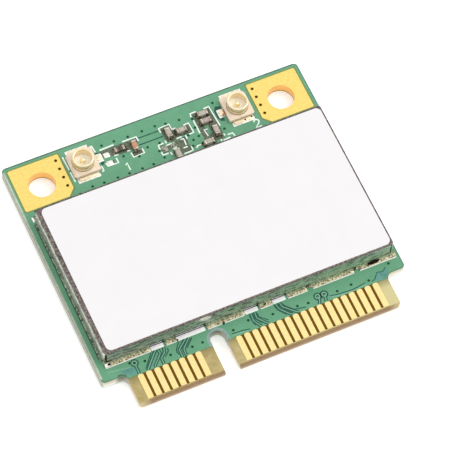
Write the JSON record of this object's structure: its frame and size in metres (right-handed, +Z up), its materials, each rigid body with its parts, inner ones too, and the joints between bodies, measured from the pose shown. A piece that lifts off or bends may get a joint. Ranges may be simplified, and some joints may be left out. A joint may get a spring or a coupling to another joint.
{
  "type": "mini pcie wifi card",
  "caption": "Half-size wireless network card: green keyed board with gold edge contacts, a folded shield can under a blank label, antenna receptacles and screw holes with earth pads.",
  "frame": {"origin": "under the middle of the board, at the level of its lower contacts and pads", "axes": "+X along the contact edge, +Y from the contacts to the screw holes, +Z up from the board to the shield can"},
  "size_m": [0.03, 0.0268, 0.003],
  "materials": {
    "glass_epoxy": "sawn and routed edge",
    "green_lacquer": "smooth satin lacquer",
    "gold_plating": "thin gold plating",
    "tinned_copper": "bright tin",
    "tinned_steel": "bright rolled sheet",
    "solder": "dull mottled solder",
    "label_paper": "matt white film",
    "moulded_base": "matt moulding",
    "gilt_shell": "pale gold plating",
    "gilt_pin": "gold plating",
    "resistor_glaze": "black glaze",
    "tan_ceramic": "fired ceramic",
    "grey_ceramic": "fired ceramic",
    "black_resin": "moulded resin"
  },
  "bodies": {
    "root": {"laminate": "glass_epoxy", "solder_mask_top": "green_lacquer", "solder_mask_bottom": "green_lacquer", "edge_contacts_top": "gold_plating", "edge_contacts_bottom": "gold_plating", "earth_pads_top": "gold_plating", "earth_pads_bottom": "gold_plating", "solder_lands": "tinned_copper", "chip_end_caps": "tinned_copper", "shield_can": "tinned_steel", "shield_solder": "solder", "label": "label_paper", "antenna_1_base": "moulded_base", "antenna_2_base": "moulded_base", "antenna_1_shell": "gilt_shell", "antenna_2_shell": "gilt_shell", "antenna_1_centre_contact": "gilt_pin", "antenna_2_centre_contact": "gilt_pin", "antenna_1_series_resistor": "resistor_glaze", "antenna_1_series_capacitor": "tan_ceramic", "antenna_1_shunt_capacitor": "grey_ceramic", "antenna_1_bypass_capacitor": "grey_ceramic", "antenna_1_feed_capacitor": "grey_ceramic", "antenna_2_series_capacitor": "grey_ceramic", "antenna_2_series_inductor": "grey_ceramic", "antenna_2_shunt_capacitor": "grey_ceramic", "antenna_2_feed_capacitor": "grey_ceramic", "decoupling_capacitors": "grey_ceramic", "balun_1": "grey_ceramic", "balun_2": "grey_ceramic", "reference_crystal": "grey_ceramic", "controller_chip": "black_resin", "amplifier_chip_1": "black_resin", "amplifier_chip_2": "black_resin", "settings_memory": "black_resin", "voltage_regulator": "black_resin", "supply_inductor": "black_resin"}
  },
  "joints": []
}
